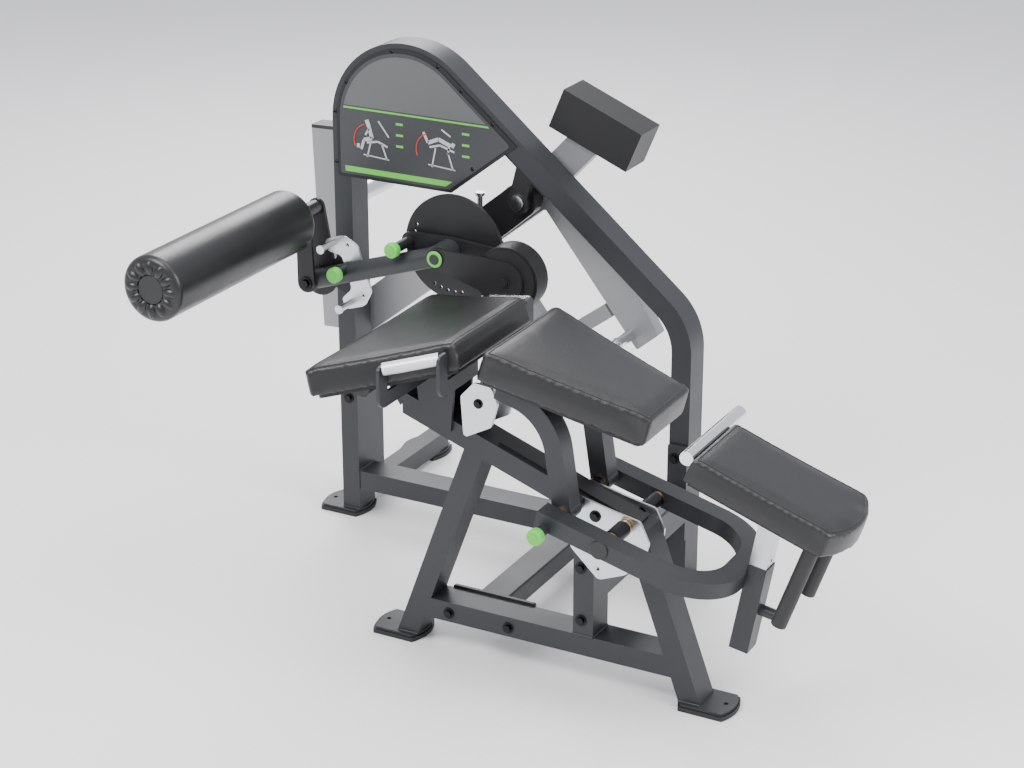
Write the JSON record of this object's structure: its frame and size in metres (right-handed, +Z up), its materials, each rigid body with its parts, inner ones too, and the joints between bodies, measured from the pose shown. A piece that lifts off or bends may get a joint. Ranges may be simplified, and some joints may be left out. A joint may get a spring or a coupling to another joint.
{
  "type": "leg extension machine",
  "caption": "Plate-loaded seated leg extension and prone leg curl machine with a swinging roller lever, bench pads and an adjustable head rest.",
  "frame": {"origin": "on the floor under the centre line of the arch's rear post", "axes": "+X from the roller end to the head-rest end, -Y towards the user's side, +Z up"},
  "size_m": [1.7342, 1.3038, 1.286],
  "materials": {
    "powder_graphite": "satin powder coat",
    "powder_silver": "light grey powder coat",
    "powder_black": "fine-texture powder coat",
    "bright_steel": "brushed",
    "chrome": "polished chrome",
    "bronze": "satin",
    "zinc_steel": "zinc plated",
    "vinyl_foam": "grained vinyl over foam",
    "plywood": "black-faced",
    "rubber": "matt",
    "green_plastic": "satin",
    "black_plastic": "satin",
    "placard_plate": "printed, satin"
  },
  "bodies": {
    "frame": {"arch_rail": "powder_graphite", "arch_tube": "powder_graphite", "base_plates": "powder_graphite", "bearing_housing": "powder_black", "bench_and_rest_shafts": "zinc_steel", "bench_cushion": "vinyl_foam", "bench_frame": "powder_graphite", "bench_mount_plates": "bright_steel", "bronze_spacers": "bronze", "cross_tube_flanges": "powder_graphite", "cross_tubes": "powder_graphite", "frame_fasteners": "zinc_steel", "knee_bumper": "black_plastic", "pivot_plates": "bright_steel", "placard": "placard_plate", "rear_stabiliser": "powder_graphite", "rubber_feet": "rubber", "seat_and_bench_boards": "plywood", "seat_brackets": "powder_graphite", "seat_cushion": "vinyl_foam", "seat_front_leg": "powder_graphite", "seat_grips": "chrome", "seat_rail": "powder_graphite", "seat_rear_leg": "powder_graphite", "short_post": "powder_graphite", "shroud_panel": "powder_black", "spine_beam": "powder_graphite", "stop_bolt": "bright_steel", "wear_strip": "black_plastic"},
    "drive": {"drive_disc": "powder_black", "drive_shaft": "chrome", "drive_crank": "powder_black"},
    "link": {"drive_link": "powder_black"},
    "lever": {"lever_link_plates": "powder_black", "lever_tube": "powder_graphite", "counterweight_drum": "powder_black", "peg_plate": "bright_steel", "lever_pin_barrels": "powder_black"},
    "start_pull_pin": {"start_pin": "green_plastic"},
    "roller_arm": {"roller_arm_plates": "powder_black", "roller_arm_pivot": "zinc_steel", "roller_axle": "zinc_steel"},
    "roller_arm_pull_pin": {"roller_arm_pin": "green_plastic"},
    "roller": {"roller_foam": "rubber", "roller_end_cap": "black_plastic"},
    "weight_arm_body": {"weight_arm": "powder_silver", "weight_arm_shafts": "chrome", "counterweight_box": "powder_black", "column_cap": "black_plastic", "weight_horn": "bright_steel"},
    "rest": {"rest_frame": "powder_graphite", "rest_pin_barrels": "powder_graphite", "post_sleeve": "powder_graphite"},
    "rest_pull_pin": {"rest_pin": "green_plastic"},
    "post_pull_pin": {"post_pin": "green_plastic"},
    "head": {"head_cushion": "vinyl_foam", "head_board": "plywood", "head_post": "bright_steel", "hand_grips": "rubber", "chrome_bar": "chrome"}
  },
  "joints": [
    {"name": "drive_swing", "type": "hinge", "parent": "frame", "child": "drive", "pos_m": [0.3585, -0.15, 0.818], "axis": [0, 1, 0], "range_deg": [0, 105]},
    {"name": "weight_arm_swing", "type": "hinge", "parent": "frame", "child": "weight_arm_body", "pos_m": [0.4845, 0.05, 0.927], "axis": [0, 1, 0], "range_deg": [0, 105]},
    {"name": "link_turn", "type": "hinge", "parent": "drive", "child": "link", "pos_m": [0.29696, 0.05, 0.81044], "axis": [0, 1, 0], "range_deg": [-105, 0]},
    {"name": "lever_start_adjust", "type": "hinge", "parent": "drive", "child": "lever", "pos_m": [0.3585, -0.15, 0.818], "axis": [0, 1, 0], "range_deg": [-100, 20]},
    {"name": "roller_arm_adjust", "type": "hinge", "parent": "lever", "child": "roller_arm", "pos_m": [-0.0065, -0.17, 0.698], "axis": [0, 1, 0], "range_deg": [-35, 8]},
    {"name": "roller_spin", "type": "hinge", "parent": "roller_arm", "child": "roller", "pos_m": [-0.0105, -0.5, 0.878], "axis": [0, 1, 0], "continuous": true},
    {"name": "start_pin_pull", "type": "slide", "parent": "lever", "child": "start_pull_pin", "axis": [0, -1, 0], "range_m": [0, 0.015], "stiffness_N_per_m": 400},
    {"name": "roller_arm_pin_pull", "type": "slide", "parent": "lever", "child": "roller_arm_pull_pin", "axis": [0, -1, 0], "range_m": [0, 0.015], "stiffness_N_per_m": 400},
    {"name": "rest_tilt", "type": "hinge", "parent": "frame", "child": "rest", "pos_m": [1.0465, -0.5309, 0.42], "axis": [0, -1, 0], "range_deg": [0, 12]},
    {"name": "rest_pin_pull", "type": "slide", "parent": "rest", "child": "rest_pull_pin", "axis": [0, -1, 0], "range_m": [0, 0.015], "stiffness_N_per_m": 400},
    {"name": "head_height", "type": "slide", "parent": "rest", "child": "head", "axis": [0.1736, 0, 0.9848], "range_m": [-0.04, 0.08]},
    {"name": "post_pin_pull", "type": "slide", "parent": "rest", "child": "post_pull_pin", "axis": [0.9848, 0, -0.1736], "range_m": [0, 0.012], "stiffness_N_per_m": 400}
  ],
  "couplings": [
    {"joint": "weight_arm_swing", "follows": "drive_swing", "ratio": 1},
    {"joint": "link_turn", "follows": "drive_swing", "ratio": -1}
  ]
}
